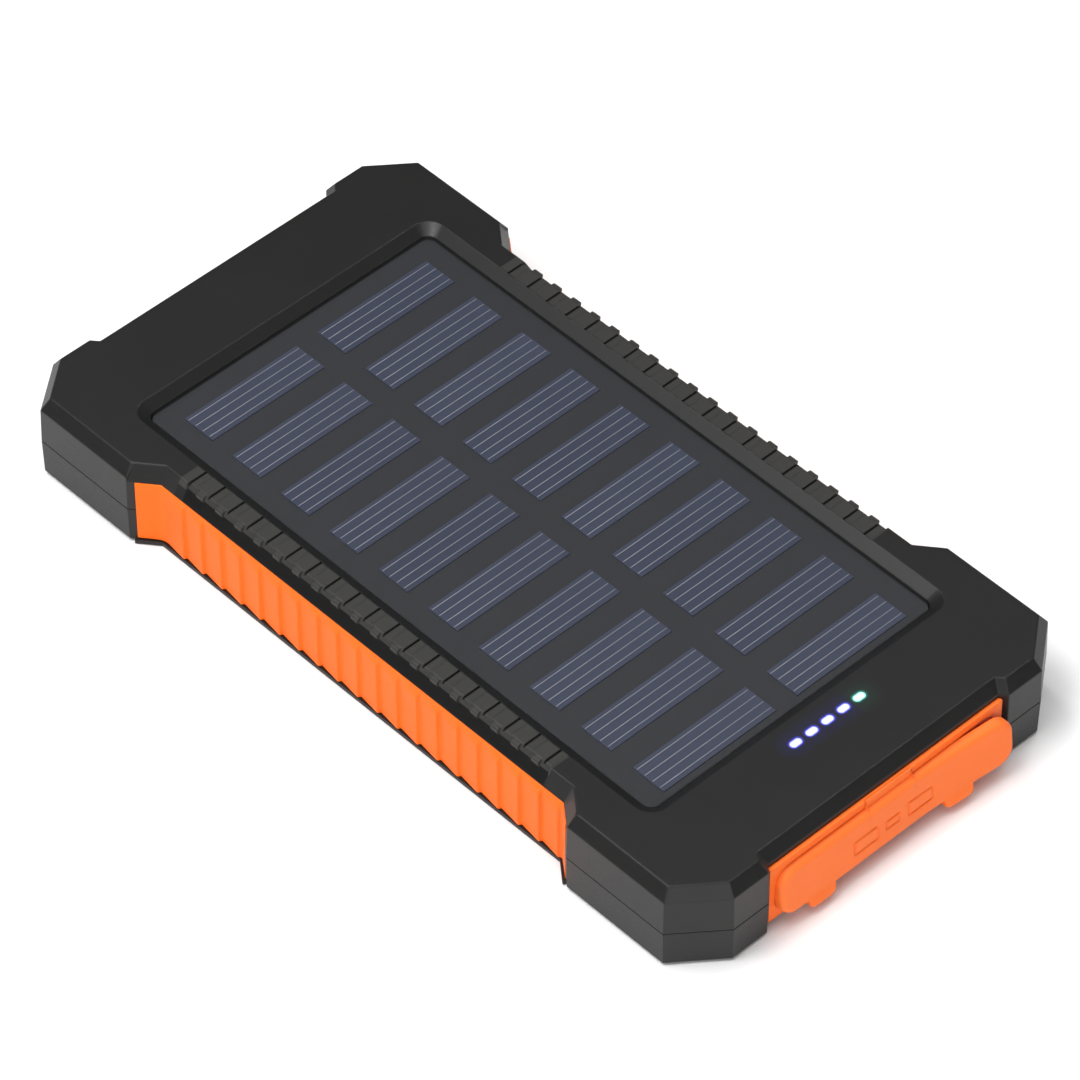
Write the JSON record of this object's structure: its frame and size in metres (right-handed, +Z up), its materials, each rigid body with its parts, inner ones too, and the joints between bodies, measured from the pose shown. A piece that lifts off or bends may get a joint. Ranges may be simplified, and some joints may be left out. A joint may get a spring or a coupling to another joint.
{
  "type": "solar phone charger",
  "caption": "Flat black solar charger with corner bumpers, ribbed orange side grips, a sunk panel of cell strips, indicator windows and a hinged orange port flap.",
  "frame": {"origin": "centre of the base face, on the surface that the charger lies on", "axes": "+X along the length towards the port end, +Z up out of the solar panel's side"},
  "size_m": [0.1432, 0.0763, 0.015],
  "materials": {
    "black_case": "fine-grained moulded ABS",
    "orange_rubber": "matt silicone rubber",
    "dark_rubber": "matt",
    "zinc_steel": "zinc plated",
    "white_tape": "double-sided tape",
    "panel_board": "solder-mask black",
    "silicon": "blue-grey monocrystalline strip",
    "clear_resin": "satin epoxy",
    "clear_lens": "clear acrylic",
    "inner_black": "plain",
    "lamp": "lit blue",
    "circuit_board": "green solder mask",
    "socket_steel": "nickel plated",
    "tongue_white": "moulded",
    "chip_black": "moulded",
    "ferrite": "pressed ferrite",
    "can_aluminium": "drawn can",
    "button_black": "moulded",
    "pouch_foil": "laminated foil",
    "foam": "foam",
    "nickel": "strip",
    "red_wire": "silicone insulation",
    "black_wire": "silicone insulation"
  },
  "bodies": {
    "case": {"front_housing": "black_case", "bottom_shell": "black_case", "case_seal": "dark_rubber", "right_grip": "orange_rubber", "left_grip": "orange_rubber", "port_bezel": "orange_rubber", "case_screws": "zinc_steel", "screw_caps": "dark_rubber", "panel_tape": "white_tape", "panel_backing": "panel_board", "solar_cells": "silicon", "panel_cover": "clear_resin", "light_guide": "clear_lens", "light_baffle": "inner_black", "indicator_lamps": "lamp", "indicator_board": "circuit_board", "usb_shell_1": "socket_steel", "usb_shell_2": "socket_steel", "usb_tongue_1": "tongue_white", "usb_tongue_2": "tongue_white", "micro_usb_socket": "socket_steel", "main_board": "circuit_board", "board_screws": "zinc_steel", "power_chip": "chip_black", "boost_coil": "ferrite", "capacitors": "can_aluminium", "chip_parts": "chip_black", "switch_body": "socket_steel", "battery_pouch_lower": "pouch_foil", "battery_pouch_upper": "pouch_foil", "foam_pad_lower": "foam", "foam_pad_upper": "foam", "battery_tape": "white_tape", "battery_tabs": "nickel", "protection_board": "circuit_board", "battery_lead_red": "red_wire", "battery_lead_black": "black_wire", "panel_lead_red": "red_wire", "panel_lead_black": "black_wire"},
    "flap": {"port_flap": "orange_rubber"},
    "button": {"power_button": "button_black", "switch_plunger": "chip_black"}
  },
  "joints": [
    {"name": "flap_hinge", "type": "hinge", "parent": "case", "child": "flap", "pos_m": [0.0704, 0, 0.01185], "axis": [0, -1, 0], "range_deg": [0, 95]},
    {"name": "button_press", "type": "slide", "parent": "case", "child": "button", "axis": [0, -1, 0], "range_m": [0, 0.0004], "stiffness_N_per_m": 2000, "springref_m": -0.0002}
  ]
}
